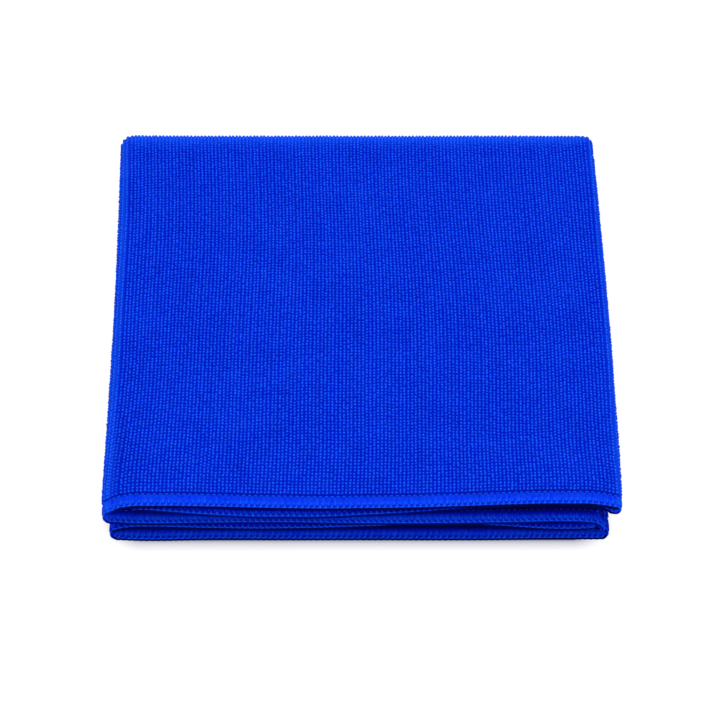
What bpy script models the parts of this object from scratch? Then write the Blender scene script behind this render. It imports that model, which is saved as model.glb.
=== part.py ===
"""A microfibre cloth, folded to a square pad.

One 600 x 400 mm sheet is folded in three like a letter, its two flaps under the centre panel, and then
in half at the back, so six plies lie on each other. Its short hems all face the front (-Y). The sheet is an
open grid, mapped on to the folds, with Solidify for its thickness. Metres, +Z up, the floor at Z = 0.
"""
import math

import bmesh
import bpy
from mathutils import Vector

MM = 0.001

# The sheet and the pad that it is folded to.
CLOTH_THICKNESS = 2.7 * MM
HEM_THICKNESS = 2.3 * MM
HEM_WIDTH = 6.2 * MM
PLY_PITCH = 3.7 * MM
PAD_LEFT = -101.0 * MM
PAD_RIGHT = 99.9 * MM
PAD_FRONT = -97.9 * MM
PAD_BACK = 98.5 * MM

# Where the flaps end. The left flap's last stretch curls, down in the upper half and up in the lower, so
# that its two ends close on each other at the front.
RIGHT_FLAP_END = -90.0 * MM
LEFT_FLAP_END = 96.6 * MM
CURL_LENGTH = 8.0 * MM
CURL_DEPTH = 45.0 * MM
UPPER_CURL = math.radians(85.0)
LOWER_CURL = math.radians(-15.0)

# How far the pad is drawn in at the front: its lower half's sides and flap, and its top front corners.
LOWER_LEFT_DRAWN_IN = 2.7 * MM
LOWER_RIGHT_DRAWN_IN = 4.0 * MM
LOWER_FLAP_DRAWN_IN = 5.0 * MM
CORNER_DRAWN_IN = 0.4 * MM
CORNER_DEPTH = 12.0 * MM
SIDE_BOW = 1.1 * MM

# How far back the lifted front edge reaches before the plies lie evenly. The bottom ply soon lies flat.
FRONT_LIFT_DEPTH = 75.0 * MM
BOTTOM_LIFT_DEPTH = 22.0 * MM

# The plies from the top down. The lower half of the sheet repeats the upper half's order, turned over.
PLIES = ("centre", "right_flap", "left_flap", "left_flap_low", "right_flap_low", "centre_low")

# Height in mm of each ply's middle along the front edge, one row for each place across it.
FRONT_HEIGHTS = (
    # x     centre  right_flap  left_flap  left_flap_low  right_flap_low  centre_low
    (-100.0, 16.0,  15.0,       12.0,      5.8,           4.1,            1.45),
    (-97.0, 18.6,   15.8,       12.0,      6.6,           4.5,            1.6),
    (-92.5, 20.9,   16.8,       11.8,      8.0,           4.9,            1.8),
    (-84.0, 21.7,   18.3,       11.8,      8.5,           5.2,            1.85),
    (-60.0, 21.3,   17.4,       11.9,      8.0,           5.05,           1.85),
    (-30.0, 20.1,   16.0,       12.1,      7.8,           4.95,           1.85),
    (0.0,   20.1,   16.2,       12.2,      8.6,           5.1,            1.85),
    (35.0,  21.3,   18.0,       13.1,      9.2,           5.2,            1.85),
    (60.0,  22.8,   19.5,       13.7,      8.3,           5.1,            1.85),
    (82.0,  23.2,   19.9,       13.9,      7.9,           5.0,            1.85),
    (91.0,  22.5,   19.3,       12.9,      8.3,           5.1,            1.75),
    (99.0,  20.2,   17.0,       12.4,      8.7,           5.0,            1.6),
)

# How far in mm each ply's front edge stands in front of the top ply's edge.
FRONT_REACH = (
    # x     centre  right_flap  left_flap  left_flap_low  right_flap_low  centre_low
    (-97.0, 0.0,    -1.2,       0.9,       1.0,           -1.0,           1.8),
    (-84.0, 0.0,    -0.4,       1.4,       0.8,           -2.0,           2.4),
    (-62.0, 0.0,    1.0,        1.2,       1.1,           -2.0,           2.05),
    (-30.0, 0.0,    1.2,        1.2,       1.2,           -2.0,           2.15),
    (0.0,   0.0,    0.4,        1.7,       0.8,           -1.8,           2.15),
    (45.0,  0.0,    -1.3,       2.3,       0.3,           -1.4,           2.25),
    (72.0,  0.0,    -2.2,       2.1,       1.5,           -1.0,           1.95),
    (89.0,  0.0,    -1.8,       2.0,       1.6,           -0.9,           1.85),
    (97.0,  0.0,    0.3,        2.0,       1.6,           -0.8,           1.65),
)

# The pad's low swells: height in mm, then their centre and half-width in mm.
SWELLS = (
    # rise  x      y      across  along
    (0.5,   -48.0, -20.0, 45.0,   60.0),
    (-0.45, 22.0,  15.0,  38.0,   55.0),
    (0.4,   66.0,  48.0,  36.0,   42.0),
    (-0.3,  -62.0, 62.0,  34.0,   36.0),
)

# Faces across each leg of the folded section, in the order in which the sheet runs, and its extra columns
# where it bends more.
LEGS = (
    # leg           faces  extra columns, as shares of the leg
    ("right_flap",  11,    (0.02,)),
    ("right_fold",  8,     ()),
    ("centre",      14,    (0.95, 0.965, 0.98)),
    ("left_fold",   8,     ()),
    ("left_flap",   12,    ()),
    ("flap_curl",   4,     ()),
)

# Faces along the sheet, from the top ply's hem to the bottom ply's hem.
HEM_ROWS = 2
PANEL_ROWS = 15
BEND_ROWS = 10


def smoothstep(low, high, value):
    t = min(max((value - low) / (high - low), 0.0), 1.0)
    return t * t * (3.0 - 2.0 * t)


def read_table(table, ply, x):
    """The value of a ply's column at x, on a smooth curve through the table's rows; the result is in metres."""
    column = PLIES.index(ply) + 1
    places = [row[0] * MM for row in table]
    values = [row[column] * MM for row in table]
    if x <= places[0]:
        return values[0]
    if x >= places[-1]:
        return values[-1]
    left = max(row for row in range(len(places) - 1) if places[row] <= x)

    def slope(row):
        before, after = max(row - 1, 0), min(row + 1, len(places) - 1)
        return (values[after] - values[before]) / (places[after] - places[before])

    span = places[left + 1] - places[left]
    t = (x - places[left]) / span
    start = values[left] + slope(left) * span * t
    end = values[left + 1] - slope(left + 1) * span * (1.0 - t)
    return start + (end - start) * t * t * (3.0 - 2.0 * t)


def level_height(ply):
    """The middle of a ply where the plies lie evenly."""
    steps_up = len(PLIES) - 1 - PLIES.index(ply)
    return CLOTH_THICKNESS / 2 + PLY_PITCH * steps_up


def ply_height(ply, x, y, from_front):
    """The middle of a ply above the floor, at a place on the pad."""
    lift_depth = BOTTOM_LIFT_DEPTH if ply == "centre_low" else FRONT_LIFT_DEPTH
    lift = 1.0 - smoothstep(0.0, lift_depth, from_front)
    even = level_height(ply)
    height = even + (read_table(FRONT_HEIGHTS, ply, x) - even) * lift
    share = (even - level_height("centre_low")) / (level_height("centre") - level_height("centre_low"))
    for rise, centre_x, centre_y, across, along in SWELLS:
        away = ((x / MM - centre_x) / across) ** 2 + ((y / MM - centre_y) / along) ** 2
        height += rise * MM * share * math.exp(-away)
    return height


def leg_ply(leg, half):
    return leg + "_low" if half == "lower" else leg


def side_bow(from_front):
    """The pad's sides bow a little towards +X between the front and the back."""
    return SIDE_BOW * math.sin(math.pi * min(max(from_front / (PAD_BACK - PAD_FRONT), 0.0), 1.0))


def side_places(half, from_front):
    """The outermost X of the sheet's middle at the left and right folds."""
    if half == "lower":
        near_front = 1.0 - smoothstep(0.0, PAD_BACK - PAD_FRONT, from_front)
        left_in = LOWER_LEFT_DRAWN_IN * near_front
        right_in = LOWER_RIGHT_DRAWN_IN * near_front
    else:
        left_in = CORNER_DRAWN_IN * (1.0 - smoothstep(0.0, CORNER_DEPTH, from_front))
        right_in = left_in
    left = PAD_LEFT + side_bow(from_front) + left_in
    right = PAD_RIGHT + side_bow(from_front) - right_in
    return left, right


def curl_start(half, from_front):
    """X where the left flap's curl begins."""
    start = LEFT_FLAP_END - CURL_LENGTH + side_bow(from_front)
    if half == "lower":
        start -= LOWER_FLAP_DRAWN_IN * (1.0 - smoothstep(0.0, PAD_BACK - PAD_FRONT, from_front))
    return start


def curl_point(t, half, y, from_front):
    """X and height on the curl: an arc that is flat at the back and turns the most at the front."""
    flat_x = curl_start(half, from_front) + CURL_LENGTH * t
    height = ply_height(leg_ply("left_flap", half), flat_x, y, from_front)
    full_turn = LOWER_CURL if half == "lower" else UPPER_CURL
    turn = full_turn * (1.0 - smoothstep(0.0, CURL_DEPTH, from_front))
    if abs(turn) < 1e-4:
        return flat_x, height
    radius = CURL_LENGTH / turn
    x = curl_start(half, from_front) + radius * math.sin(turn * t)
    return x, height - radius * (1.0 - math.cos(turn * t))


def section_point(leg, t, half, y, from_front):
    """X and height of one point of the folded section: t runs from 0 to 1 along the leg."""
    if leg == "flap_curl":
        return curl_point(t, half, y, from_front)
    left, right = side_places(half, from_front)

    def height(ply_leg, x):
        return ply_height(leg_ply(ply_leg, half), x, y, from_front)

    right_radius = abs(height("centre", right) - height("right_flap", right)) / 2
    left_radius = abs(height("centre", left) - height("left_flap", left)) / 2
    right_centre = right - right_radius
    left_centre = left + left_radius
    turned = (1.0 - math.cos(math.pi * t)) / 2
    if leg == "right_fold":
        start = height("right_flap", right_centre)
        end = height("centre", right_centre)
        return right_centre + right_radius * math.sin(math.pi * t), start + (end - start) * turned
    if leg == "left_fold":
        start = height("centre", left_centre)
        end = height("left_flap", left_centre)
        return left_centre - left_radius * math.sin(math.pi * t), start + (end - start) * turned
    ends = {
        "right_flap": (RIGHT_FLAP_END + side_bow(from_front), right_centre),
        "centre": (right_centre, left_centre),
        "left_flap": (left_centre, curl_start(half, from_front)),
    }
    first, last = ends[leg]
    x = first + (last - first) * t
    return x, height(leg, x)


def ply_reach(leg, t, half, x):
    """How far the front edge of this leg stands in front of the top ply's edge."""
    if leg == "right_fold":
        ends = ("right_flap", "centre")
    elif leg == "left_fold":
        ends = ("centre", "left_flap")
    elif leg == "flap_curl":
        return read_table(FRONT_REACH, leg_ply("left_flap", half), x)
    else:
        return read_table(FRONT_REACH, leg_ply(leg, half), x)
    start = read_table(FRONT_REACH, leg_ply(ends[0], half), x)
    end = read_table(FRONT_REACH, leg_ply(ends[1], half), x)
    return start + (end - start) * (1.0 - math.cos(math.pi * t)) / 2


def bend_axis():
    """Y of the line that the sheet turns round at the back."""
    outer_radius = (level_height("centre") - level_height("centre_low")) / 2
    return PAD_BACK - outer_radius


def panel_point(leg, t, half, along):
    """A point of the upper or lower half: along is 0 at the front hem and 1 where the back bend starts."""
    straight = bend_axis() - PAD_FRONT
    x, _ = section_point(leg, t, half, PAD_FRONT + straight * along, straight * along)
    reach = ply_reach(leg, t, half, x)
    y = PAD_FRONT - reach + (straight + reach) * along
    x, z = section_point(leg, t, half, y, straight * along)
    return Vector((x, y, z))


def bend_point(leg, t, turn):
    """A point of the bend at the back: turn is 0 on the upper half and 1 on the lower."""
    above = panel_point(leg, t, "upper", 1.0)
    below = panel_point(leg, t, "lower", 1.0)
    radius = (above.z - below.z) / 2
    angle = math.pi * turn
    x = above.x + (below.x - above.x) * turn
    y = above.y + radius * math.sin(angle)
    z = (above.z + below.z) / 2 + radius * math.cos(angle)
    return Vector((x, y, z))


def section_columns():
    """(leg, t) for every column of the grid."""
    columns = [(LEGS[0][0], 0.0)]
    for leg, faces, extra in LEGS:
        shares = sorted([(step + 1) / faces for step in range(faces)] + list(extra))
        columns += [(leg, share) for share in shares]
    return columns


def length_rows():
    """(half, along) for every row of the grid; for the bend, along is the turn."""
    hem_share = HEM_WIDTH / (bend_axis() - PAD_FRONT)
    going_back = [hem_share * step / HEM_ROWS for step in range(HEM_ROWS)]
    going_back += [hem_share + (1.0 - hem_share) * step / PANEL_ROWS for step in range(PANEL_ROWS)]
    rows = [("upper", along) for along in going_back]
    rows += [("bend", step / BEND_ROWS) for step in range(BEND_ROWS + 1)]
    rows += [("lower", along) for along in reversed(going_back)]
    return rows


def cloth_point(column, row):
    leg, t = column
    half, along = row
    if half == "bend":
        return bend_point(leg, t, along)
    return panel_point(leg, t, half, along)


def cloth_material():
    material = bpy.data.materials.new("blue_microfibre")
    material.use_nodes = True
    shader = material.node_tree.nodes["Principled BSDF"]
    shader.inputs["Base Color"].default_value = (0.003, 0.032, 0.66, 1.0)
    shader.inputs["Roughness"].default_value = 0.95
    shader.inputs["Metallic"].default_value = 0.0
    return material


def make_cloth(collection):
    """The sheet as a grid on its folds, thickened both ways, and a little less along its hems."""
    columns = section_columns()
    rows = length_rows()
    grid = bmesh.new()
    bmesh.ops.create_grid(grid, x_segments=len(columns) - 1, y_segments=len(rows) - 1, size=0.5)
    full_thickness = []
    for vertex in grid.verts:
        column = round((vertex.co.x + 0.5) * (len(columns) - 1))
        row = round((vertex.co.y + 0.5) * (len(rows) - 1))
        vertex.co = cloth_point(columns[column], rows[row])
        at_side = column in (0, len(columns) - 1)
        at_front = row < HEM_ROWS or row >= len(rows) - HEM_ROWS
        if not (at_side or at_front):
            full_thickness.append(vertex.index)
    mesh = bpy.data.meshes.new("cloth")
    grid.to_mesh(mesh)
    grid.free()

    cloth = bpy.data.objects.new("cloth", mesh)
    collection.objects.link(cloth)
    mesh.materials.append(cloth_material())
    mesh.shade_smooth()

    inside_hem = cloth.vertex_groups.new(name="inside_hem")
    inside_hem.add(full_thickness, 1.0, "REPLACE")
    thickness = cloth.modifiers.new("thickness", "SOLIDIFY")
    thickness.thickness = CLOTH_THICKNESS
    thickness.offset = 0.0
    thickness.use_even_offset = True
    thickness.vertex_group = inside_hem.name
    thickness.thickness_vertex_group = HEM_THICKNESS / CLOTH_THICKNESS
    return cloth


def clear_scene():
    for old in list(bpy.data.objects):
        bpy.data.objects.remove(old, do_unlink=True)


def main():
    clear_scene()
    collection = bpy.data.collections.new("microfibre_cloth")
    bpy.context.scene.collection.children.link(collection)
    make_cloth(collection)


main()
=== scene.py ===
"""The looks of a microfibre cloth that is folded to a square pad.

The sheet follows the folds of its solid: two flaps under a centre panel, then in half at the back.
On it stand the loops of its ribbed terry, and its hems have their seam, overlock threads and knots.
Lengths are in metres. A place on the sheet is (u, v): u counts the legs of the folded section, and
v runs from the top ply's front edge (0) to the back bend (1 to 2) and on to the bottom ply's front
edge (3).
"""

import itertools
import math

import bpy
import numpy as np
from mathutils import Matrix, Vector


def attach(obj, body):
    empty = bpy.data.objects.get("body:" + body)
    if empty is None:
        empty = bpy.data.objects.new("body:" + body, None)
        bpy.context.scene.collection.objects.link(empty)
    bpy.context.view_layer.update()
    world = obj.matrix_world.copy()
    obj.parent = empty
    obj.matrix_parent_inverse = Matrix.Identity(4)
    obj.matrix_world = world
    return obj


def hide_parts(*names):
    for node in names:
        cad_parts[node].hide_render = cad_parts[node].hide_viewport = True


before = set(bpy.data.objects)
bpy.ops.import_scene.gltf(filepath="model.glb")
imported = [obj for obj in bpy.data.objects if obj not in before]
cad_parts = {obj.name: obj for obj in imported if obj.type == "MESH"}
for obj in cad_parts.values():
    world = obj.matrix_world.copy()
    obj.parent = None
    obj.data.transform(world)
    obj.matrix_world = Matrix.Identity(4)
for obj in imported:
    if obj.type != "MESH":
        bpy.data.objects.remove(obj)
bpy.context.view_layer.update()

MM = 0.001

# ---- The folds, as the solid has them ----------------------------------------------------------------

PLY_PITCH = 3.7 * MM
SOLID_THICKNESS = 2.7 * MM
PAD_LEFT = -101.0 * MM
PAD_RIGHT = 99.9 * MM
PAD_FRONT = -97.9 * MM
PAD_BACK = 98.5 * MM
RIGHT_FLAP_END = -90.0 * MM
LEFT_FLAP_END = 96.6 * MM
CURL_LENGTH = 8.0 * MM
CURL_DEPTH = 45.0 * MM
UPPER_CURL = math.radians(85.0)
LOWER_CURL = math.radians(-15.0)
LOWER_LEFT_DRAWN_IN = 2.7 * MM
LOWER_RIGHT_DRAWN_IN = 4.0 * MM
LOWER_FLAP_DRAWN_IN = 5.0 * MM
CORNER_DRAWN_IN = 0.4 * MM
CORNER_DEPTH = 12.0 * MM
SIDE_BOW = 1.1 * MM
FRONT_LIFT_DEPTH = 75.0 * MM
BOTTOM_LIFT_DEPTH = 22.0 * MM

# The plies are counted from the top down, in the order of the tables' columns. Each half of the sheet
# has its centre panel, right flap and left flap, and the lower half is turned over.
PLY_COUNT = 6
TOP_PLY = 0
BOTTOM_PLY = PLY_COUNT - 1
UPPER_PLIES = (0, 1, 2)
LOWER_PLIES = (5, 4, 3)

# Height in mm of each ply's middle along the front edge, one row for each place across it.
FRONT_HEIGHTS = (
    # x     centre  right_flap  left_flap  left_flap_low  right_flap_low  centre_low
    (-100.0, 16.0,  15.0,       12.0,      5.8,           4.1,            1.45),
    (-97.0, 18.6,   15.8,       12.0,      6.6,           4.5,            1.6),
    (-92.5, 20.9,   16.8,       11.8,      8.0,           4.9,            1.8),
    (-84.0, 21.7,   18.3,       11.8,      8.5,           5.2,            1.85),
    (-60.0, 21.3,   17.4,       11.9,      8.0,           5.05,           1.85),
    (-30.0, 20.1,   16.0,       12.1,      7.8,           4.95,           1.85),
    (0.0,   20.1,   16.2,       12.2,      8.6,           5.1,            1.85),
    (35.0,  21.3,   18.0,       13.1,      9.2,           5.2,            1.85),
    (60.0,  22.8,   19.5,       13.7,      8.3,           5.1,            1.85),
    (82.0,  23.2,   19.9,       13.9,      7.9,           5.0,            1.85),
    (91.0,  22.5,   19.3,       12.9,      8.3,           5.1,            1.75),
    (99.0,  20.2,   17.0,       12.4,      8.7,           5.0,            1.6),
)

# How far in mm each ply's front edge stands in front of the top ply's edge.
FRONT_REACH = (
    # x     centre  right_flap  left_flap  left_flap_low  right_flap_low  centre_low
    (-97.0, 0.0,    -1.2,       0.9,       1.0,           -1.0,           1.8),
    (-84.0, 0.0,    -0.4,       1.4,       0.8,           -2.0,           2.4),
    (-62.0, 0.0,    1.0,        1.2,       1.1,           -2.0,           2.05),
    (-30.0, 0.0,    1.2,        1.2,       1.2,           -2.0,           2.15),
    (0.0,   0.0,    0.4,        1.7,       0.8,           -1.8,           2.15),
    (45.0,  0.0,    -1.3,       2.3,       0.3,           -1.4,           2.25),
    (72.0,  0.0,    -2.2,       2.1,       1.5,           -1.0,           1.95),
    (89.0,  0.0,    -1.8,       2.0,       1.6,           -0.9,           1.85),
    (97.0,  0.0,    0.3,        2.0,       1.6,           -0.8,           1.65),
)

# The pad's low swells: height in mm, then their centre and half-width in mm.
SWELLS = (
    # rise  x      y      across  along
    (0.5,   -48.0, -20.0, 45.0,   60.0),
    (-0.45, 22.0,  15.0,  38.0,   55.0),
    (0.4,   66.0,  48.0,  36.0,   42.0),
    (-0.3,  -62.0, 62.0,  34.0,   36.0),
)


def smooth(t):
    """A soft step from 0 to 1."""
    t = np.clip(t, 0.0, 1.0)
    return t * t * (3.0 - 2.0 * t)


def read_table(table, ply, x):
    """A ply's column at each x, on a smooth curve through the table's rows."""
    rows = np.array(table) * MM
    places, values = rows[:, 0], rows[:, ply + 1]
    before = np.maximum(np.arange(len(places)) - 1, 0)
    after = np.minimum(np.arange(len(places)) + 1, len(places) - 1)
    slopes = (values[after] - values[before]) / (places[after] - places[before])
    x = np.clip(x, places[0], places[-1])
    left = np.clip(np.searchsorted(places, x, side="right") - 1, 0, len(places) - 2)
    span = places[left + 1] - places[left]
    t = (x - places[left]) / span
    start = values[left] + slopes[left] * span * t
    end = values[left + 1] - slopes[left + 1] * span * (1.0 - t)
    return start + (end - start) * smooth(t)


def level_height(ply):
    """The height of a ply's middle where the pad lies evenly."""
    return SOLID_THICKNESS / 2 + PLY_PITCH * (BOTTOM_PLY - ply)


def plies_of(lower):
    """The centre panel, right flap and left flap of the upper or lower half."""
    return LOWER_PLIES if lower else UPPER_PLIES


BEND_RADIUS = (level_height(TOP_PLY) - level_height(BOTTOM_PLY)) / 2
STRAIGHT = PAD_BACK - BEND_RADIUS - PAD_FRONT


def ply_height(ply, x, y, from_front):
    """The middle of a ply above the floor."""
    lift_depth = BOTTOM_LIFT_DEPTH if ply == BOTTOM_PLY else FRONT_LIFT_DEPTH
    lift = 1.0 - smooth(from_front / lift_depth)
    even = level_height(ply)
    height = even + (read_table(FRONT_HEIGHTS, ply, x) - even) * lift
    lowest = level_height(BOTTOM_PLY)
    share = (even - lowest) / (level_height(TOP_PLY) - lowest)
    for rise, centre_x, centre_y, across, along in SWELLS:
        away = ((x / MM - centre_x) / across) ** 2 + ((y / MM - centre_y) / along) ** 2
        height = height + rise * MM * share * np.exp(-away)
    return height


# The legs of the section in the order of u.
RIGHT_FLAP, RIGHT_FOLD, CENTRE, LEFT_FOLD, LEFT_FLAP, FLAP_CURL = range(6)
U_END = FLAP_CURL + 1
BEND_START, BEND_END, V_END = 1.0, 2.0, 3.0


def side_bow(from_front):
    """How far to the right the pad bows between its front and its back."""
    return SIDE_BOW * np.sin(math.pi * np.clip(from_front / (PAD_BACK - PAD_FRONT), 0.0, 1.0))


def side_places(lower, from_front):
    """The outermost X of the sheet's middle at the left and right folds."""
    near_front = 1.0 - smooth(from_front / (PAD_BACK - PAD_FRONT))
    corner = CORNER_DRAWN_IN * (1.0 - smooth(from_front / CORNER_DEPTH))
    left_in = LOWER_LEFT_DRAWN_IN * near_front if lower else corner
    right_in = LOWER_RIGHT_DRAWN_IN * near_front if lower else corner
    bow = side_bow(from_front)
    return PAD_LEFT + bow + left_in, PAD_RIGHT + bow - right_in


def curl_start(lower, from_front):
    """X where the left flap's curl begins."""
    near_front = 1.0 - smooth(from_front / (PAD_BACK - PAD_FRONT))
    drawn_in = LOWER_FLAP_DRAWN_IN * near_front if lower else 0.0
    return LEFT_FLAP_END - CURL_LENGTH + side_bow(from_front) - drawn_in


def curl_place(t, lower, y, from_front):
    """X and height on the curl: an arc that is flat at the back and turns the most at the front."""
    start = curl_start(lower, from_front)
    left_flap = plies_of(lower)[2]
    flat_height = ply_height(left_flap, start + CURL_LENGTH * t, y, from_front)
    turn = (LOWER_CURL if lower else UPPER_CURL) * (1.0 - smooth(from_front / CURL_DEPTH))
    half_angle = turn * t / 2
    x = start + CURL_LENGTH * t * np.sinc(2 * half_angle / math.pi)
    return x, flat_height - CURL_LENGTH * t * np.sin(half_angle) * np.sinc(half_angle / math.pi)


def section(leg, t, lower, y, from_front):
    """X and height on the folded section of the upper or lower half."""
    centre, right_flap, left_flap = plies_of(lower)
    left, right = side_places(lower, from_front)

    def height(ply, x):
        return ply_height(ply, x, y, from_front)

    right_radius = np.abs(height(centre, right) - height(right_flap, right)) / 2
    left_radius = np.abs(height(centre, left) - height(left_flap, left)) / 2
    right_centre = right - right_radius
    left_centre = left + left_radius
    turned = (1.0 - np.cos(math.pi * t)) / 2
    swing = np.sin(math.pi * t)

    flap_end = RIGHT_FLAP_END + side_bow(from_front)
    flap_x = flap_end + (right_centre - flap_end) * t
    panel_x = right_centre + (left_centre - right_centre) * t
    long_flap_x = left_centre + (curl_start(lower, from_front) - left_centre) * t
    right_start, right_end = height(right_flap, right_centre), height(centre, right_centre)
    left_start, left_end = height(centre, left_centre), height(left_flap, left_centre)
    right_rise = right_start + (right_end - right_start) * turned
    left_rise = left_start + (left_end - left_start) * turned
    places = {
        RIGHT_FLAP: (flap_x, height(right_flap, flap_x)),
        RIGHT_FOLD: (right_centre + right_radius * swing, right_rise),
        CENTRE: (panel_x, height(centre, panel_x)),
        LEFT_FOLD: (left_centre - left_radius * swing, left_rise),
        LEFT_FLAP: (long_flap_x, height(left_flap, long_flap_x)),
        FLAP_CURL: curl_place(t, lower, y, from_front),
    }
    here = [leg == name for name in places]
    across, heights = zip(*places.values())
    return np.select(here, across), np.select(here, heights)


def front_reach(leg, t, lower, x):
    """How far the front edge stands in front of the top ply's edge."""
    centre, right_flap, left_flap = (read_table(FRONT_REACH, ply, x) for ply in plies_of(lower))
    turned = (1.0 - np.cos(math.pi * t)) / 2
    reach = np.where(leg == RIGHT_FLAP, right_flap, centre)
    reach = np.where(leg == RIGHT_FOLD, right_flap + (centre - right_flap) * turned, reach)
    reach = np.where(leg == LEFT_FOLD, centre + (left_flap - centre) * turned, reach)
    return np.where(leg >= LEFT_FLAP, left_flap, reach)


def panel(leg, t, lower, along):
    """A point of a half: along is 0 at its front edge and 1 where the back bend starts."""
    from_front = STRAIGHT * along
    x, _ = section(leg, t, lower, PAD_FRONT + from_front, from_front)
    reach = front_reach(leg, t, lower, x)
    y = PAD_FRONT - reach + (STRAIGHT + reach) * along
    x, z = section(leg, t, lower, y, from_front)
    return x, y, z


def middle(u, v):
    """The sheet's middle at each (u, v), as an array of points."""
    u, v = np.broadcast_arrays(np.asarray(u, float), np.asarray(v, float))
    leg = np.clip(np.floor(u), 0, U_END - 1)
    t = u - leg
    above_x, above_y, above_z = panel(leg, t, False, np.clip(v, 0.0, 1.0))
    below_x, below_y, below_z = panel(leg, t, True, np.clip(V_END - v, 0.0, 1.0))
    turn = np.clip(v - BEND_START, 0.0, 1.0)
    radius = (above_z - below_z) / 2
    bent_x = above_x + (below_x - above_x) * turn
    bent_y = above_y + radius * np.sin(math.pi * turn)
    bent_z = (above_z + below_z) / 2 + radius * np.cos(math.pi * turn)
    upper, lower = v < BEND_START, v > BEND_END
    x = np.select([upper, lower], [above_x, below_x], bent_x)
    y = np.select([upper, lower], [above_y, below_y], bent_y)
    z = np.select([upper, lower], [above_z, below_z], bent_z)
    return np.stack([x, y, z], axis=-1)


SHORTEST = 1e-12


def unit(vectors):
    """Vectors of length one."""
    return vectors / np.maximum(np.linalg.norm(vectors, axis=-1, keepdims=True), SHORTEST)


# Directions are measured over this step of u and v. Before a leg's end stop the places themselves, and
# just before it the steps to either side.
FRAME_STEP = 1e-3
BEFORE_END = 1e-6
JUST_BEFORE_END = 1e-9


def local_frame(u, v):
    """The middle's point, and its directions across the ribs, along them and out of the outer face."""
    u, v = np.broadcast_arrays(np.asarray(u, float), np.asarray(v, float))
    u = np.minimum(u, U_END - BEFORE_END)
    leg = np.floor(u)
    low_u = np.maximum(u - FRAME_STEP, leg)
    high_u = np.minimum(u + FRAME_STEP, leg + 1 - JUST_BEFORE_END)
    low_v = np.maximum(v - FRAME_STEP, 0.0)
    high_v = np.minimum(v + FRAME_STEP, V_END)
    across = unit(middle(high_u, v) - middle(low_u, v))
    along = unit(middle(u, high_v) - middle(u, low_v))
    outward = unit(np.cross(along, across))
    return middle(u, v), across, along, outward


# ---- The sheet laid flat -----------------------------------------------------------------------------

# Lengths of the legs and of the stretches of v, which space what stands on them.
LEG_LENGTHS = np.array((188.0, 5.6, 196.0, 11.0, 185.0, 8.0)) * MM
BEND_LENGTH = math.pi * (BEND_RADIUS + SOLID_THICKNESS / 2)
LEG_ENDS = np.concatenate([[0.0], np.cumsum(LEG_LENGTHS)])
ROW_ENDS = np.array([0.0, STRAIGHT, STRAIGHT + BEND_LENGTH, 2 * STRAIGHT + BEND_LENGTH])
LEG_NUMBERS = np.arange(len(LEG_ENDS))
ROW_NUMBERS = np.arange(len(ROW_ENDS))
FLAT_WIDTH = LEG_ENDS[-1]
FLAT_LENGTH = ROW_ENDS[-1]


def flat_place(u, v):
    """Where a place lies on the flat sheet: from its right flap's cut end, and from the top front edge."""
    return np.interp(u, LEG_NUMBERS, LEG_ENDS), np.interp(v, ROW_NUMBERS, ROW_ENDS)


def folded_place(across, along):
    """The (u, v) of a place on the flat sheet."""
    return np.interp(across, LEG_ENDS, LEG_NUMBERS), np.interp(along, ROW_ENDS, ROW_NUMBERS)


# The hem in mm, from the cut edge to the terry: the cloth's thickness and its tone, darker in the dimples
# behind the rim and in the seam's grooves as painted shade.
HEM_PROFILE = (
    # from edge  thickness  tone
    (0.00,       1.60,      0.10),
    (0.12,       1.70,      0.10),
    (0.30,       1.70,      0.05),
    (0.70,       1.72,      0.00),
    (0.90,       1.90,      0.15),
    (1.50,       2.15,      0.28),
    (2.20,       2.30,      0.32),
    (3.40,       2.35,      0.32),
    (4.30,       2.25,      0.30),
    (4.75,       2.15,      0.22),
    (4.92,       1.85,      -0.22),
    (5.32,       1.85,      -0.22),
    (5.45,       2.00,      0.10),
    (5.65,       1.40,      -0.40),
    (5.95,       1.40,      -0.40),
    (6.25,       1.80,      0.00),
    (7.40,       2.00,      0.00),
)
HEM_WIDTH = 5.95 * MM

# The cut edge's face is in shade where a ply lies flat: how much, at heights in mm.
RIM_SHADE = (
    # height  shade
    (2.0,     1.30),
    (8.6,     0.95),
    (12.8,    0.55),
    (18.2,    0.55),
    (20.0,    1.30),
)
RIM_SHADE_WIDTH = 0.3 * MM


def rim_shade(points, outward):
    """The shade on the cut edge's face: none where the ply stands upright."""
    heights, shades = np.array(RIM_SHADE).T
    return np.interp(points[..., 2] / MM, heights, shades) * np.abs(outward[..., 2])


def from_cut_edge(u, v):
    """The distance from the nearest cut edge of the flat sheet."""
    across, along = flat_place(u, v)
    from_side = np.minimum(across, FLAT_WIDTH - across)
    return np.minimum(from_side, np.minimum(along, FLAT_LENGTH - along))


def read_hem(u, v):
    """Thickness and tone at each place, from how far it is from the nearest cut edge."""
    from_edge = from_cut_edge(u, v)
    profile = np.array(HEM_PROFILE)
    places = profile[:, 0] * MM
    return np.interp(from_edge, places, profile[:, 1] * MM), np.interp(from_edge, places, profile[:, 2])


# Light and shade painted on the folded pad as changes of tone: painted shade low down, more painted shade
# between the plies behind their front edges, and painted light along the back bend and the side folds.
LOW_PAINTED_SHADE = 0.15
TOP_HEIGHT = 20.0 * MM
UNDERSIDE = 0.9 * MM
LOWER_HALF = 10.5 * MM
BELOW_TOP_PLY = 1.7 * MM
BETWEEN_DEPTH = 3.2 * MM
FOLD_INSET = 5.0 * MM
BACK_PAINTED_LIGHT = 0.60
SIDE_PAINTED_LIGHT = 0.34
PAINTED_LIGHT_FROM = 8.0 * MM
PAINTED_LIGHT_RISE = 12.0 * MM
BACK_STRIP = 13.0 * MM
SIDE_STRIP = 2.4 * MM

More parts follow.
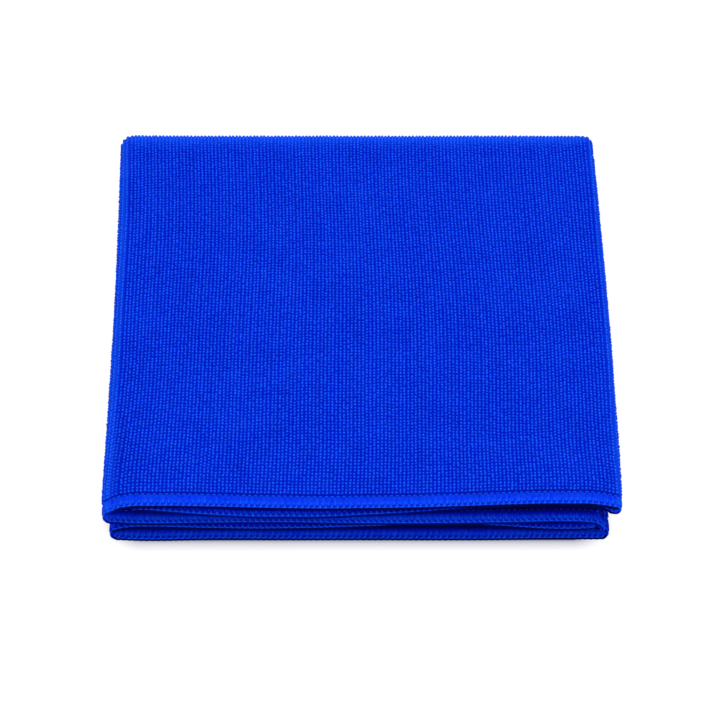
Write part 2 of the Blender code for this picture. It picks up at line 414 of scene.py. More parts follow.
# The left flap's ends close on each other at the right and keep the light out.
CLOSED_FROM_X = 45.0 * MM
CLOSED_EASE = 20.0 * MM
CLOSED_FROM_HEIGHT = 8.4 * MM
CLOSED_TO_HEIGHT = 11.4 * MM
CLOSED_SHADE = 1.2

# The shade between the plies, at heights in mm: where it starts behind the pad's front, and its strength.
BETWEEN_PLIES = (
    # height  start   strength
    (2.0,     1.4,    0.75),
    (5.0,     -0.6,   0.95),
    (8.6,     -1.4,   1.05),
    (12.8,    0.4,    0.25),
    (17.5,    -0.8,   1.20),
)


def light_tone(points):
    """The painted light and shade at each point, as a change of tone."""
    x, y, z = np.asarray(points).reshape(-1, 3).T
    from_front = y - PAD_FRONT
    behind_front = np.maximum(from_front, 0.0)
    above = ply_height(TOP_PLY, x, y, behind_front) - BELOW_TOP_PLY
    heights, starts, strengths = np.array(BETWEEN_PLIES).T
    start = np.interp(z / MM, heights, starts) * MM
    strength = np.interp(z / MM, heights, strengths)
    behind = smooth((from_front - start) / BETWEEN_DEPTH) * smooth((PAD_BACK - y) / (2 * BEND_RADIUS))
    upper_sides = side_places(False, behind_front)
    lower_sides = side_places(True, behind_front)
    left, right = (np.where(z < LOWER_HALF, low, high) for low, high in zip(lower_sides, upper_sides))
    within = smooth((x - left) / FOLD_INSET) * smooth((right - x) / FOLD_INSET)
    covered = (z > UNDERSIDE) & (z < above)

    # Painted light along the back bend and the side folds, fading in above the lower plies.
    at_back = smooth((y - PAD_BACK + BACK_STRIP) / BACK_STRIP)
    at_side = smooth((np.abs(x - side_bow(behind_front)) - PAD_RIGHT + SIDE_STRIP) / SIDE_STRIP)
    painted_light = np.maximum(BACK_PAINTED_LIGHT * at_back, SIDE_PAINTED_LIGHT * at_side)
    painted_light = painted_light * smooth((z - PAINTED_LIGHT_FROM) / PAINTED_LIGHT_RISE)
    # Painted shade, the more the lower a point lies.
    low = np.clip(1.0 - z / TOP_HEIGHT, 0.0, 1.0)
    closed = (z > CLOSED_FROM_HEIGHT) & (z < CLOSED_TO_HEIGHT)
    strength = strength + CLOSED_SHADE * smooth((x - CLOSED_FROM_X) / CLOSED_EASE) * closed
    return painted_light - LOW_PAINTED_SHADE * low - strength * behind * within * covered


# ---- Meshes ------------------------------------------------------------------------------------------

def make_mesh(name, points, faces, material, tones=None):
    """One object from an array of points and one or more arrays of faces; tones shade each point, and
    light_tone adds painted light and shade to them.
    """
    mesh = bpy.data.meshes.new(name)
    groups = [np.asarray(group, np.int32) for group in faces if len(group)]
    sizes = np.concatenate([np.full(len(group), group.shape[1], np.int32) for group in groups])
    starts = np.concatenate([[0], np.cumsum(sizes)[:-1]]).astype(np.int32)
    corners = np.concatenate([group.reshape(-1) for group in groups])
    mesh.vertices.add(len(points))
    mesh.vertices.foreach_set("co", np.asarray(points, np.float32).reshape(-1))
    mesh.loops.add(len(corners))
    mesh.loops.foreach_set("vertex_index", corners)
    mesh.polygons.add(len(sizes))
    mesh.polygons.foreach_set("loop_start", starts)
    mesh.polygons.foreach_set("use_smooth", np.ones(len(sizes), bool))
    mesh.update(calc_edges=True)
    mesh.materials.append(material)
    if tones is not None:
        attribute = mesh.attributes.new("tone", "FLOAT", "POINT")
        shades = np.asarray(tones).reshape(-1) + light_tone(points)
        attribute.data.foreach_set("value", shades.astype(np.float32))
    piece = bpy.data.objects.new(name, mesh)
    bpy.context.scene.collection.objects.link(piece)
    return piece


def grid_faces(across, along):
    """Quads of a grid whose points run across first."""
    first = (np.arange(along - 1)[:, None] * across + np.arange(across - 1)[None, :]).reshape(-1)
    return np.stack([first, first + 1, first + across + 1, first + across], axis=1)


def repeat_faces(faces, points_each, count):
    """The faces of many copies of one small form, whose points follow each other."""
    faces = np.asarray(faces)
    starts = np.arange(count) * points_each
    return (faces[None, :, :] + starts[:, None, None]).reshape(-1, faces.shape[1])


def flat_stops(length, hem, steps):
    """Distances along a side of the flat sheet: close in the hems, else as steps gives them."""
    inner = [step for step in steps if hem[-1] < step < length - hem[-1]]
    return np.unique(np.concatenate([hem, inner, length - np.array(hem)]))


# The sheet's faces across each leg of the section, and along the top half, the bend and the lower half.
FACES_PER_LEG = (40, 10, 48, 14, 40, 8)
FACES_PER_ROW = (42, 18, 42)


def even_stops(ends, counts):
    """Distances that part each stretch between two ends into its count of faces."""
    stretches = zip(ends[:-1], ends[1:], counts)
    return np.concatenate([np.linspace(start, end, count + 1) for start, end, count in stretches])


def make_sheet(material):
    """The sheet itself: its two faces, half its thickness from the middle, joined round the cut edge."""
    hem = [row[0] * MM for row in HEM_PROFILE]
    columns, _ = folded_place(flat_stops(FLAT_WIDTH, hem, even_stops(LEG_ENDS, FACES_PER_LEG)), 0.0)
    _, rows = folded_place(0.0, flat_stops(FLAT_LENGTH, hem, even_stops(ROW_ENDS, FACES_PER_ROW)))
    u, v = np.meshgrid(columns, rows)
    # A whole number of u is where one leg ends and the next starts, so its frame is read before it.
    before_u = np.where(u == np.floor(u), np.maximum(u - BEFORE_END, 0.0), u)
    point, _, _, outward = local_frame(before_u, v)
    thickness, tone = read_hem(u, v)
    tone = tone - rim_shade(point, outward) * smooth(1.0 - from_cut_edge(u, v) / RIM_SHADE_WIDTH)
    half = (thickness / 2)[..., None]
    outer = (point + outward * half).reshape(-1, 3)
    inner = (point - outward * half).reshape(-1, 3)
    faces = grid_faces(len(columns), len(rows))
    count = len(columns) * len(rows)
    index = np.arange(count).reshape(len(rows), len(columns))
    ring = np.concatenate([index[0, :-1], index[:-1, -1], index[-1, :0:-1], index[:0:-1, 0]])
    following = np.roll(ring, -1)
    rim = np.stack([ring, following, following + count, ring + count], axis=1)
    groups = [faces[:, ::-1], faces + count, rim]
    tones = np.tile(tone.reshape(-1), 2)
    return make_mesh("cloth_sheet", np.concatenate([outer, inner]), groups, material, tones)


# ---- Pile --------------------------------------------------------------------------------------------

RIB_PITCH = 1.5 * MM
LOOP_PITCH = 1.5 * MM
LOOP_ROOT = 0.15 * MM
PILE_START = HEM_WIDTH + 0.75 * MM

# Behind the hem the ribs are straight, and over this depth they start to sway. The sway is in ribs, and
# its waves give the ribs and the loops for one radian and where the wave starts.
PILE_SETTLES = 30.0 * MM
RIB_SWAY = 0.25
SWAY_WAVES = ((17.0, 23.0, 0.0), (29.0, -13.0, 1.3))

# How unevenly the loops are set: along one line across the ribs, from rib to rib and from loop to loop.
WOBBLE_STEP = 0.03
WOBBLE_SHARE = 0.15
RIB_DRIFT_STEP = 0.16
LOOP_SLACK = 0.06
LOOP_JITTER = 0.02

# A loop's form: its sides, its height, and rings of points with their size, their height as a share of
# the loop's, and their tone at its sides and along its rib: painted shade low on the loop and at its sides,
# painted light towards its top.
FULL_LOOP = {
    "sides": 6,
    "height": 0.60 * MM,
    "rings": ((1.0, 0.0, -0.15, 0.05), (0.68, 0.74, 0.38, 0.48)),
    "tip": True,
}
PLAIN_LOOP = {
    "sides": 4,
    "height": 0.36 * MM,
    "rings": ((1.0, 0.0, 0.0, 0.3), (0.66, 1.0, 0.6, 0.8)),
    "tip": False,
}
# The tone at a full loop's tip: a painted highlight.
TIP_HIGHLIGHT = 1.25

# A loop's half width and half length in pitches, its height and its brightness as shares, its turn in
# radians and its lean in pitches: the least and the most, or the middle and the spread.
LOOP_WIDTH = (0.41, 0.46)
LOOP_LENGTH = (0.50, 0.60)
LOOP_HEIGHT = (0.75, 1.15)
LOOP_BRIGHTNESS = (0.65, 1.15)
LOOP_TURN = (0.0, 0.12)
LEAN_ACROSS = (0.0, 0.06)
LEAN_ALONG = (-0.05, 0.10)


def rib_places(first, last, random):
    """Flat places of the loops: the ribs sway together, and each rib drifts a little from the next."""
    ribs = max(1, round((last - first) / RIB_PITCH))
    loops = round((FLAT_LENGTH - 2 * PILE_START) / LOOP_PITCH) + 1
    rib, loop = np.meshgrid(np.arange(ribs), np.arange(loops))
    from_hem = np.minimum(loop, loops - 1 - loop) * LOOP_PITCH
    settled = smooth(from_hem / PILE_SETTLES)
    waves = sum(np.sin(rib / of_rib + loop / of_loop + start) for of_rib, of_loop, start in SWAY_WAVES)
    wobble = np.cumsum(random.normal(0.0, WOBBLE_STEP, rib.shape), axis=0)
    wobble -= np.linspace(0.0, 1.0, loops)[:, None] * wobble[-1]
    drift = (np.cumsum(random.normal(0.0, RIB_DRIFT_STEP, ribs)) + 0.5) % 1.0 - 0.5
    slack = random.normal(0.0, LOOP_SLACK, rib.shape)
    jitter = random.normal(0.0, LOOP_JITTER, rib.shape)
    place_across = (rib + 0.5 + RIB_SWAY * waves * settled + WOBBLE_SHARE * wobble + jitter) / ribs
    across = first + (last - first) * np.clip(place_across, 0.0, 1.0)
    share = (loop + drift[rib] * settled + slack) / (loops - 1)
    along = PILE_START + (FLAT_LENGTH - 2 * PILE_START) * np.clip(share, 0.0, 1.0)
    return across.reshape(-1), along.reshape(-1)


def make_pile(name, places, form, material, random):
    """Small rounded loops on the outer face of the sheet."""
    u, v = folded_place(*places)
    count = len(u)
    point, across, along, outward = local_frame(u, v)
    thickness, _ = read_hem(u, v)
    root = point + outward * (thickness / 2 - LOOP_ROOT)[:, None]
    width = RIB_PITCH * random.uniform(*LOOP_WIDTH, count)
    length = LOOP_PITCH * random.uniform(*LOOP_LENGTH, count)
    height = LOOP_ROOT + form["height"] * random.uniform(*LOOP_HEIGHT, count)
    turned = random.normal(*LOOP_TURN, count)
    lean_across = random.normal(*LEAN_ACROSS, count) * RIB_PITCH
    lean_along = random.normal(*LEAN_ALONG, count) * LOOP_PITCH
    brightness = random.uniform(*LOOP_BRIGHTNESS, count)

    sides = form["sides"]
    points, tones = [], []
    # Each ring's tone paints shade low on the loop and at its sides, and light towards its top.
    for size, rise, side_tone, rib_tone in form["rings"]:
        for angle in 2 * math.pi * np.arange(sides) / sides:
            tone = side_tone + (rib_tone - side_tone) * math.sin(angle) ** 2
            local_x = np.cos(angle) * np.cos(turned) * width - np.sin(angle) * np.sin(turned) * length
            local_y = np.cos(angle) * np.sin(turned) * width + np.sin(angle) * np.cos(turned) * length
            shift = (
                across * (local_x * size + lean_across * rise)[:, None]
                + along * (local_y * size + lean_along * rise)[:, None]
                + outward * (height * rise)[:, None]
            )
            points.append(root + shift)
            tones.append(tone * brightness)
    last = (len(form["rings"]) - 1) * sides
    around = [(k, (k + 1) % sides) for k in range(sides)]
    caps = [tuple(last + k for k in range(sides))]
    if form["tip"]:
        tip = across * lean_across[:, None] + along * lean_along[:, None] + outward * height[:, None]
        points.append(root + tip)
        tones.append(TIP_HIGHLIGHT * brightness)
        caps = [(last + k, last + following, len(points) - 1) for k, following in around]
    quads = [
        (low + k, low + following, low + sides + following, low + sides + k)
        for low in range(0, last, sides)
        for k, following in around
    ]
    faces = [repeat_faces(group, len(points), count)[:, ::-1] for group in (quads, caps)]
    points = np.stack(points, axis=1).reshape(-1, 3)
    return make_mesh(name, points, faces, material, np.stack(tones, axis=1))


def split_places(places, from_along, to_along):
    """The places that lie on one stretch of the flat sheet's length."""
    across, along = places
    here = (along >= from_along) & (along < to_along)
    return across[here], along[here]


# ---- Hem threads -------------------------------------------------------------------------------------

STITCH_PITCH = 2.3 * MM
NEEDLE_LINE = 5.12 * MM
EDGE_SAMPLES = 6000
EDGES = ("top_front", "bottom_front", "left_end", "right_end")
SIDES = (1.0, -1.0)


def edge_places(edge, spacing):
    """Flat places at even steps along a cut edge as it is folded, and the way into the cloth."""
    sides = {
        "top_front": ((0.0, 0.0), (FLAT_WIDTH, 0.0), (0.0, 1.0)),
        "bottom_front": ((0.0, FLAT_LENGTH), (FLAT_WIDTH, FLAT_LENGTH), (0.0, -1.0)),
        "left_end": ((0.0, 0.0), (0.0, FLAT_LENGTH), (1.0, 0.0)),
        "right_end": ((FLAT_WIDTH, 0.0), (FLAT_WIDTH, FLAT_LENGTH), (-1.0, 0.0)),
    }
    start, end, inward = sides[edge]
    share = np.linspace(0.0, 1.0, EDGE_SAMPLES)
    across, along = (start[axis] + (end[axis] - start[axis]) * share for axis in (0, 1))
    points = middle(*folded_place(across, along))
    travelled = np.concatenate([[0.0], np.cumsum(np.linalg.norm(np.diff(points, axis=0), axis=1))])
    steps = max(2, round(travelled[-1] / spacing))
    stops = (np.arange(steps) + 0.5) * travelled[-1] / steps
    return np.interp(stops, travelled, across), np.interp(stops, travelled, along), inward


def thread_frames(across, along, inset, inward, drift=0.0):
    """Points and directions at a distance from a cut edge, drifted along it."""
    sideways = (abs(inward[1]), abs(inward[0]))
    place_across = np.clip(across + inward[0] * inset + sideways[0] * drift, 0.0, FLAT_WIDTH)
    place_along = np.clip(along + inward[1] * inset + sideways[1] * drift, 0.0, FLAT_LENGTH)
    u, v = folded_place(place_across, place_along)
    point, way_across, way_along, outward = local_frame(u, v)
    way_in = way_across * inward[0] + way_along * inward[1]
    way_on = way_across * sideways[0] + way_along * sideways[1]
    return point, way_in, way_on, outward, read_hem(u, v)[0] / 2


def thread_route(across, along, inward, side, stops):
    """A thread's course at each place of an edge and the way up from it, as (places, stops, 3) arrays.

    A stop has its distance from the cut edge, its drift along it, its share of half the cloth's
    thickness and how far it stands above that.
    """
    route, up = [], []
    for inset, drift, share, above in stops:
        point, _, _, outward, half = thread_frames(across, along, inset, inward, drift)
        route.append(point + outward * side * (half * share + above)[:, None])
        up.append(outward * side)
    return np.stack(route, axis=1), np.stack(up, axis=1)


# How bright a raised thread is along its sides, and how much more so along its crown: painted shade on
# its sides and a painted highlight on its crown.
STRIP_SIDE_TONE = 0.55
STRIP_CROWN_HIGHLIGHT = 0.45


def make_strips(name, threads, widths, heights, arc_points, material):
    """Raised threads: half-round strips. Each entry of threads has routes, their ups and their tones."""
    routes, ups, tones = (np.concatenate(group) for group in zip(*threads))
    copies, stops, _ = routes.shape
    direction = unit(np.gradient(routes, axis=1))
    sideways = unit(np.cross(direction, ups))
    angles = np.linspace(0.0, math.pi, arc_points)
    ring = (
        sideways[:, :, None, :] * (np.cos(angles)[None, :] * widths[:, None])[None, :, :, None]
        + ups[:, :, None, :] * (np.sin(angles)[None, :] * heights[:, None])[None, :, :, None]
    )
    points = (routes[:, :, None, :] + ring).reshape(-1, 3)
    faces = repeat_faces(grid_faces(arc_points, stops), stops * arc_points, copies)
    crown = STRIP_SIDE_TONE + STRIP_CROWN_HIGHLIGHT * np.sin(angles)
    shades = tones[:, :, None] * crown[None, None, :]
    return make_mesh(name, points, [faces[:, ::-1]], material, shades)


# The looper strands: share of the way from the needle line to the rim, height above the hem, and tone.
STRAND_STOPS = (
    # way   rise    tone
    (0.00,  -0.25,  0.00),
    (0.14,  0.04,   0.32),
    (0.50,  0.06,   0.40),
    (0.84,  0.12,   0.80),
    (1.00,  -0.10,  0.30),
)

# The strands of a stitch lean to either side in turn, by a share of the slant and with some spread. The
# first is the darker one, and all stand a little along from the knots.
STRANDS_PER_STITCH = 2
STRAND_WIDTH = 0.54 * MM
STRAND_HEIGHT = 0.18 * MM
STRAND_SLANT = 0.36 * MM
STRAND_LEAN = -1.2
STRAND_LEAN_SPREAD = 0.35
STRAND_DRIFT = STITCH_PITCH / 4
STRAND_FROM = 4.7 * MM
STRAND_TO = 0.90 * MM
STRAND_SHINE = (0.75, 1.15)
FIRST_STRAND_SHINE = 0.70
STRAND_ARC_POINTS = 4


def make_strands(material, random):
    """The looper threads that cover the hem on both faces."""
    ways, rises, stop_tones = np.array(STRAND_STOPS).T
    threads = []
    for edge in EDGES:
        across, along, inward = edge_places(edge, STITCH_PITCH / STRANDS_PER_STITCH)
        turn = np.arange(len(across)) % STRANDS_PER_STITCH
        spread = random.normal(0.0, STRAND_LEAN_SPREAD, len(across))
        lean = STRAND_SLANT * ((0.5 - turn) * STRAND_LEAN + spread)
        shine = random.uniform(*STRAND_SHINE, len(across)) * np.where(turn == 0, FIRST_STRAND_SHINE, 1.0)
        insets = STRAND_FROM + (STRAND_TO - STRAND_FROM) * ways
        drifts = [lean * (way - 0.5) * 2 + STRAND_DRIFT for way in ways]
        stops = list(zip(insets, drifts, np.ones(len(ways)), rises * MM - STRAND_HEIGHT / 2))
        for side in SIDES:
            route, up = thread_route(across, along, inward, side, stops)
            threads.append((route, up, shine[:, None] * stop_tones))
    widths = np.full(len(ways), STRAND_WIDTH)
    heights = np.full(len(ways), STRAND_HEIGHT)
    return make_strips("hem_strands", threads, widths, heights, STRAND_ARC_POINTS, material)


# A knot between the hem and the rim cord, in mm: distance from the edge, height over the cloth's middle,
# half width and height of the bead, and its tone, lightest on the bead's middle as a painted highlight.
KNOT_STOPS = (
    # inset  over   width  rise   tone
    (1.10,   0.98,  0.18,  0.10,  0.50),
    (0.88,   0.92,  0.36,  0.20,  0.80),
    (0.60,   0.84,  0.50,  0.28,  1.10),
    (0.34,   0.80,  0.36,  0.20,  0.90),
    (0.12,   0.74,  0.18,  0.10,  0.50),
)
KNOT_SIZE = (0.90, 1.08)
KNOT_DRIFT = 0.10 * MM
KNOT_SHINE = (0.80, 1.00)
KNOT_ARC_POINTS = 6


def make_knots(material, random):
    """The loopers' knots: one bead on each face for each stitch, with dimples between them."""
    insets, overs, widths, heights, stop_tones = np.array(KNOT_STOPS).T
    threads = []
    for edge in EDGES:
        across, along, inward = edge_places(edge, STITCH_PITCH)
        size = random.uniform(*KNOT_SIZE, len(across))
        drift = random.normal(0.0, KNOT_DRIFT, len(across))
        stops = [(inset * MM, drift, 0.0, over * MM * size) for inset, over in zip(insets, overs)]
        for side in SIDES:
            route, up = thread_route(across, along, inward, side, stops)
            shine = random.uniform(*KNOT_SHINE, len(across))
            threads.append((route, up, shine[:, None] * stop_tones))
    return make_strips("rim_knots", threads, widths * MM, heights * MM, KNOT_ARC_POINTS, material)


# The cord stands at CORD_RISE from the cloth's middle. It swells and brightens with the beat of the
# knots, and is in shade where it hangs under a ply.
CORD_RADIUS = 0.27 * MM
CORD_INSET = 0.12 * MM
CORD_RISE = 0.73 * MM
CORD_SIDES = 6
CORD_STEPS_PER_STITCH = 4
CORD_SWELL = 0.26
CORD_TONE = 0.55
CORD_BEAT_TONE = 0.25
CORD_TONE_SPREAD = 0.08
CORD_SHADE = 1.6


def make_rim_cord(material, random):
    """The chained threads that run along both sides of the rim, a little thicker at each knot."""
    points, quads, caps, tones, start = [], [], [], [], 0
    around = np.arange(CORD_SIDES)
    next_around = (around + 1) % CORD_SIDES
    angles = 2 * math.pi * around / CORD_SIDES
    for edge, side in itertools.product(EDGES, SIDES):
        across, along, inward = edge_places(edge, STITCH_PITCH / CORD_STEPS_PER_STITCH)
        point, way_in, way_on, outward, _ = thread_frames(across, along, CORD_INSET, inward)
        point = point + outward * side * CORD_RISE
        stops = len(across)
        steps = np.arange(stops) - (CORD_STEPS_PER_STITCH - 1) / 2
        beat = np.cos(2 * math.pi * steps / CORD_STEPS_PER_STITCH)
        radius = CORD_RADIUS * (1.0 + CORD_SWELL * beat)
        ring = way_in[:, None, :] * np.cos(angles)[None, :, None]
        ring = ring + outward[:, None, :] * np.sin(angles)[None, :, None]
        points.append((point[:, None, :] + ring * radius[:, None, None]).reshape(-1, 3))

        here = start + np.arange(stops - 1)[:, None] * CORD_SIDES
        there = here + CORD_SIDES
        corners = (here + around, here + next_around, there + next_around, there + around)
        faces = np.stack(corners, axis=-1).reshape(-1, 4)
        ends = np.array([start + around, start + (stops - 1) * CORD_SIDES + around[::-1]])
        facing = np.sum(np.cross(way_in, outward) * way_on, axis=1).mean() > 0
        quads.append(faces if facing else faces[:, ::-1])
        caps.append(ends[:, ::-1] if facing else ends)

        facing_down = np.clip(-side * outward[:, 2], 0.0, 1.0)
        spread = random.uniform(-CORD_TONE_SPREAD, CORD_TONE_SPREAD, stops)
        shade = CORD_TONE + CORD_BEAT_TONE * beat + spread - CORD_SHADE * facing_down
        tones.append(np.repeat(shade, CORD_SIDES))
        start += stops * CORD_SIDES
    faces = [np.concatenate(quads), np.concatenate(caps)]
    return make_mesh("rim_cord", np.concatenate(points), faces, material, np.concatenate(tones))


# A needle stitch: share of its length along the line, height above the hem, and tone.
NEEDLE_STITCH = 1.55 * MM
NEEDLE_STOPS = (
    # along  rise    tone
    (-0.50,  -0.30,  0.00),
    (-0.34,  0.14,   1.00),
    (0.34,   0.14,   1.00),
    (0.50,   -0.30,  0.00),
)
NEEDLE_THREAD_WIDTH = 0.22 * MM
NEEDLE_THREAD_HEIGHT = 0.18 * MM
NEEDLE_SHINE = (0.85, 1.00)
NEEDLE_ARC_POINTS = 4


def make_needle_stitches(material, random):
    """The straight stitches that hold the hem's inner side, on both faces."""
    stops = [(NEEDLE_LINE, NEEDLE_STITCH * share, 1.0, rise * MM) for share, rise, _ in NEEDLE_STOPS]
    stop_tones = np.array([tone for _, _, tone in NEEDLE_STOPS])
    threads = []
    for edge, side in itertools.product(EDGES, SIDES):
        across, along, inward = edge_places(edge, STITCH_PITCH)
        route, up = thread_route(across, along, inward, side, stops)
        shine = random.uniform(*NEEDLE_SHINE, len(across))
        threads.append((route, up, shine[:, None] * stop_tones))
    widths = np.full(len(stops), NEEDLE_THREAD_WIDTH)
    heights = np.full(len(stops), NEEDLE_THREAD_HEIGHT)
    return make_strips("needle_stitches", threads, widths, heights, NEEDLE_ARC_POINTS, material)


# ---- Materials ---------------------------------------------------------------------------------------

# The dye in painted shade, in the valleys of the cloth and at the tips of its fibres, and that of the
# threads:
# the valleys darker and the tips lighter as painted shade and painted highlight.
SHADED_BLUE = (0.0, 0.0006, 0.06)
DEEP_BLUE = (0.0, 0.008, 0.45)
BRIGHT_BLUE = (0.008, 0.098, 0.87)
THREAD_DEEP_BLUE = (0.0, 0.007, 0.66)
THREAD_BRIGHT_BLUE = (0.006, 0.088, 0.79)

FABRIC_ROUGHNESS = 0.85
FABRIC_SPECULAR = 0.01
SHEEN_WEIGHT = 0.05
SHEEN_ROUGHNESS = 0.45
SHEEN_TINT = (0.03, 0.25, 1.0, 1.0)
MOTTLE_SCALE = 60.0
MOTTLE_DETAIL = 3.0
MOTTLE_TONE = 0.22
FIBRE_DETAIL = 2.0
BUMP_DISTANCE = 0.1 * MM

# The stretches of tone over which the colour turns from painted shade to deep, and from deep to bright.
SHADED_TO_DEEP = 0.90
DEEP_TO_BRIGHT = 0.94


def fabric_material(name, deep, bright, fibre_scale, speckle, bump):
    """A dyed microfibre: its tone, which carries painted light and shade, comes from each loop or thread,
    and its bump from the fibres.
    """
    material = bpy.data.materials.new(name)
    material.use_nodes = True
    nodes, links = material.node_tree.nodes, material.node_tree.links
    shader = nodes["Principled BSDF"]
    shader.inputs["Roughness"].default_value = FABRIC_ROUGHNESS
    shader.inputs["Specular IOR Level"].default_value = FABRIC_SPECULAR
    shader.inputs["Sheen Weight"].default_value = SHEEN_WEIGHT
    shader.inputs["Sheen Roughness"].default_value = SHEEN_ROUGHNESS
    shader.inputs["Sheen Tint"].default_value = SHEEN_TINT

    tone = nodes.new("ShaderNodeAttribute")
    tone.attribute_name = "tone"
    place = nodes.new("ShaderNodeTexCoord")
    mottle = nodes.new("ShaderNodeTexNoise")
    mottle.inputs["Scale"].default_value = MOTTLE_SCALE
    mottle.inputs["Detail"].default_value = MOTTLE_DETAIL
    links.new(place.outputs["Object"], mottle.inputs["Vector"])
    fibre = nodes.new("ShaderNodeTexNoise")
    fibre.inputs["Scale"].default_value = fibre_scale
    fibre.inputs["Detail"].default_value = FIBRE_DETAIL
    links.new(place.outputs["Object"], fibre.inputs["Vector"])

    mottled = nodes.new("ShaderNodeMath")
    mottled.operation = "MULTIPLY_ADD"
    mottled.inputs[1].default_value = MOTTLE_TONE
    links.new(mottle.outputs["Fac"], mottled.inputs[0])
    links.new(tone.outputs["Fac"], mottled.inputs[2])
    speckled = nodes.new("ShaderNodeMath")
    speckled.operation = "MULTIPLY_ADD"
    speckled.inputs[1].default_value = speckle
    links.new(fibre.outputs["Fac"], speckled.inputs[0])
    links.new(mottled.outputs["Value"], speckled.inputs[2])
    # A tone of zero is the deep dye: the noises add half their strength to it on average.
    level = (MOTTLE_TONE + speckle) / 2
    stretches = ((level - SHADED_TO_DEEP, level, deep), (level, level + DEEP_TO_BRIGHT, bright))
    below = SHADED_BLUE
    for start, end, above in stretches:
        shade = nodes.new("ShaderNodeMapRange")
        shade.inputs["From Min"].default_value = start
        shade.inputs["From Max"].default_value = end
        links.new(speckled.outputs["Value"], shade.inputs["Value"])
        colour = nodes.new("ShaderNodeMix")
        colour.data_type = "RGBA"
        if isinstance(below, tuple):
            colour.inputs["A"].default_value = (*below, 1.0)
        else:
            links.new(below, colour.inputs["A"])
        colour.inputs["B"].default_value = (*above, 1.0)
        links.new(shade.outputs["Result"], colour.inputs["Factor"])
        below = colour.outputs["Result"]
    links.new(below, shader.inputs["Base Color"])

    rough = nodes.new("ShaderNodeBump")
    rough.inputs["Strength"].default_value = bump
    rough.inputs["Distance"].default_value = BUMP_DISTANCE
    links.new(fibre.outputs["Fac"], rough.inputs["Height"])
    links.new(rough.outputs["Normal"], shader.inputs["Normal"])
    return material


# ---- Stage, light and camera -------------------------------------------------------------------------

# The camera's place, and how it is turned: down from level, to the right, and about its own axis.
CAMERA_PLACE = (-0.02218, -0.67003, 0.88168)
CAMERA_PITCH = math.radians(53.199)
CAMERA_YAW = math.radians(1.925)
CAMERA_ROLL = math.radians(1.551)
CAMERA_LENS = 133.04
CAMERA_SENSOR = 36.0
CAMERA_CLIP_START = 0.01


def make_camera():
    data = bpy.data.cameras.new("camera")
    data.lens = CAMERA_LENS
    data.sensor_width = CAMERA_SENSOR
    data.clip_start = CAMERA_CLIP_START
    camera = bpy.data.objects.new("camera", data)
    bpy.context.scene.collection.objects.link(camera)
    level = math.cos(CAMERA_PITCH)
    ahead = Vector((math.sin(CAMERA_YAW) * level, math.cos(CAMERA_YAW) * level, -math.sin(CAMERA_PITCH)))
    right = Vector((math.cos(CAMERA_YAW), -math.sin(CAMERA_YAW), 0.0))
    up = right.cross(ahead)
    rolled_right = right * math.cos(CAMERA_ROLL) + up * math.sin(CAMERA_ROLL)
    rolled_up = up * math.cos(CAMERA_ROLL) - right * math.sin(CAMERA_ROLL)
    turn = Matrix((rolled_right, rolled_up, -ahead)).transposed()
    camera.matrix_world = Matrix.Translation(CAMERA_PLACE) @ turn.to_4x4()
    bpy.context.scene.camera = camera


FLOOR_HALF = 6.0
FLOOR_HEIGHT = -0.34 * MM
FLOOR_GREY = (0.16, 0.16, 0.16, 1.0)
FLOOR_ROUGHNESS = 0.9
FLOOR_SPECULAR = 0.1

# The floor glows white but for the pad's painted shadow: a rectangle about GLOW_CENTRE with round corners.
# The glow starts at one distance outside it, is full at the other and rises between them by a power.
GLOW_CENTRE = (-1.9 * MM, -0.9 * MM, 0.0)
GLOW_HALF_SIZE = (84.3 * MM, 87.0 * MM, 0.0)
GLOW_FROM = 11.3 * MM
GLOW_TO = 16.6 * MM
GLOW_POWER = 0.27
GLOW_STRENGTH = 0.87
# The painted shadow's colour, tinted blue.
PAINTED_SHADOW_TINT = (0.68, 0.68, 1.0, 1.0)
WHITE = (1.0, 1.0, 1.0, 1.0)
ORIGIN = (0.0, 0.0, 0.0)


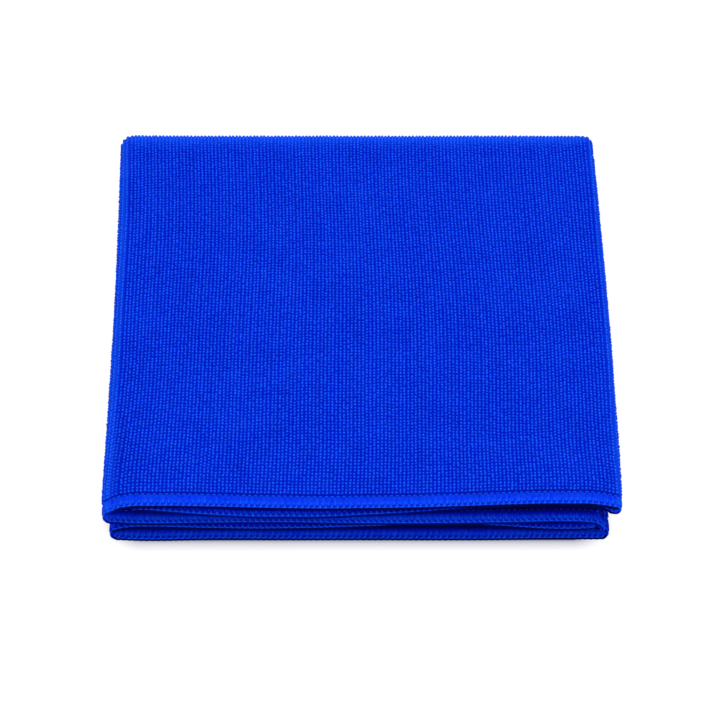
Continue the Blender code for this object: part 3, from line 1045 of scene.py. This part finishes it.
def make_floor():
    """A white sweep that darkens only in a narrow strip beside the pad and under it: a painted shadow, over
    the faint real one of its grey base.
    """
    material = bpy.data.materials.new("floor_white")
    material.use_nodes = True
    nodes, links = material.node_tree.nodes, material.node_tree.links
    shader = nodes["Principled BSDF"]
    shader.inputs["Base Color"].default_value = FLOOR_GREY
    shader.inputs["Roughness"].default_value = FLOOR_ROUGHNESS
    shader.inputs["Specular IOR Level"].default_value = FLOOR_SPECULAR
    # How far each point of the floor is outside the rectangle.
    outside = nodes.new("ShaderNodeTexCoord").outputs["Object"]
    for operation, value in (
        ("SUBTRACT", GLOW_CENTRE),
        ("ABSOLUTE", ORIGIN),
        ("SUBTRACT", GLOW_HALF_SIZE),
        ("MAXIMUM", ORIGIN),
    ):
        step = nodes.new("ShaderNodeVectorMath")
        step.operation = operation
        step.inputs[1].default_value = value
        links.new(outside, step.inputs[0])
        outside = step.outputs["Vector"]
    beside = nodes.new("ShaderNodeVectorMath")
    beside.operation = "LENGTH"
    links.new(outside, beside.inputs[0])
    glow = nodes.new("ShaderNodeMapRange")
    glow.inputs["From Min"].default_value = GLOW_FROM
    glow.inputs["From Max"].default_value = GLOW_TO
    links.new(beside.outputs["Value"], glow.inputs["Value"])
    rounded = nodes.new("ShaderNodeMath")
    rounded.operation = "POWER"
    rounded.inputs[1].default_value = GLOW_POWER
    links.new(glow.outputs["Result"], rounded.inputs[0])
    tint = nodes.new("ShaderNodeMix")
    tint.data_type = "RGBA"
    tint.inputs["A"].default_value = PAINTED_SHADOW_TINT
    tint.inputs["B"].default_value = WHITE
    links.new(rounded.outputs["Value"], tint.inputs["Factor"])
    links.new(tint.outputs["Result"], shader.inputs["Emission Color"])
    strength = nodes.new("ShaderNodeMath")
    strength.operation = "MULTIPLY"
    strength.inputs[1].default_value = GLOW_STRENGTH
    links.new(rounded.outputs["Value"], strength.inputs[0])
    links.new(strength.outputs["Value"], shader.inputs["Emission Strength"])
    signs = ((-1, -1), (1, -1), (1, 1), (-1, 1))
    corners = [(x * FLOOR_HALF, y * FLOOR_HALF, FLOOR_HEIGHT) for x, y in signs]
    make_mesh("floor", np.array(corners), [np.array([(0, 1, 2, 3)])], material)


LIGHT_SIZE = 1.2
OVERHEAD_PLACE = (0.0, 0.5, 1.5)
OVERHEAD_POWER = 18.5
FRONT_PLACE = (0.15, -1.1, 1.35)
FRONT_POWER = 14.0
WORLD_STRENGTH = 0.42


def area_light(name, place, power):
    """A square light that faces the middle of the pad's base."""
    data = bpy.data.lights.new(name, "AREA")
    data.shape = "SQUARE"
    data.size = LIGHT_SIZE
    data.energy = power
    light = bpy.data.objects.new(name, data)
    bpy.context.scene.collection.objects.link(light)
    light.location = place
    light.rotation_euler = (-Vector(place)).to_track_quat("-Z", "Y").to_euler()


def make_light():
    world = bpy.data.worlds.new("studio")
    bpy.context.scene.world = world
    world.use_nodes = True
    background = world.node_tree.nodes["Background"]
    background.inputs["Color"].default_value = WHITE
    background.inputs["Strength"].default_value = WORLD_STRENGTH
    area_light("overhead", OVERHEAD_PLACE, OVERHEAD_POWER)
    area_light("front", FRONT_PLACE, FRONT_POWER)
    bpy.context.scene.view_settings.view_transform = "Standard"


# ---- The whole ---------------------------------------------------------------------------------------

RANDOM_SEED = 7

# The terry's loops reach this far past the two side folds, on the flaps' faces.
UNDER_FLAP_STRIP = 12.0 * MM


def main():
    random = np.random.default_rng(RANDOM_SEED)
    terry = fabric_material(
        "blue_terry", DEEP_BLUE, BRIGHT_BLUE, fibre_scale=2600.0, speckle=0.30, bump=0.35)
    hem = fabric_material(
        "blue_hem_thread", THREAD_DEEP_BLUE, THREAD_BRIGHT_BLUE, fibre_scale=900.0, speckle=0.75, bump=0.25)

    sheet = make_sheet(terry)
    first = LEG_ENDS[RIGHT_FOLD] - UNDER_FLAP_STRIP
    last = LEG_ENDS[LEFT_FLAP] + UNDER_FLAP_STRIP
    places = rib_places(first, last, random)
    under = rib_places(first, last, random)
    _, bend_start, bend_end, _ = ROW_ENDS
    half_way = STRAIGHT / 2
    top_front = split_places(places, 0.0, half_way)
    top_back = split_places(places, half_way, bend_start)
    back_bend = split_places(places, bend_start, bend_end)
    underside = split_places(under, bend_end, FLAT_LENGTH)
    pieces = [
        make_pile("pile_top_front", top_front, FULL_LOOP, terry, random),
        make_pile("pile_top_back", top_back, FULL_LOOP, terry, random),
        make_pile("pile_back_bend", back_bend, FULL_LOOP, terry, random),
        make_pile("pile_under", underside, PLAIN_LOOP, terry, random),
        make_strands(hem, random),
        make_knots(hem, random),
        make_rim_cord(hem, random),
        make_needle_stitches(hem, random),
    ]
    for piece in [sheet, *pieces]:
        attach(piece, "root")
    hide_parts("cloth")

    make_floor()
    make_light()
    make_camera()


main()
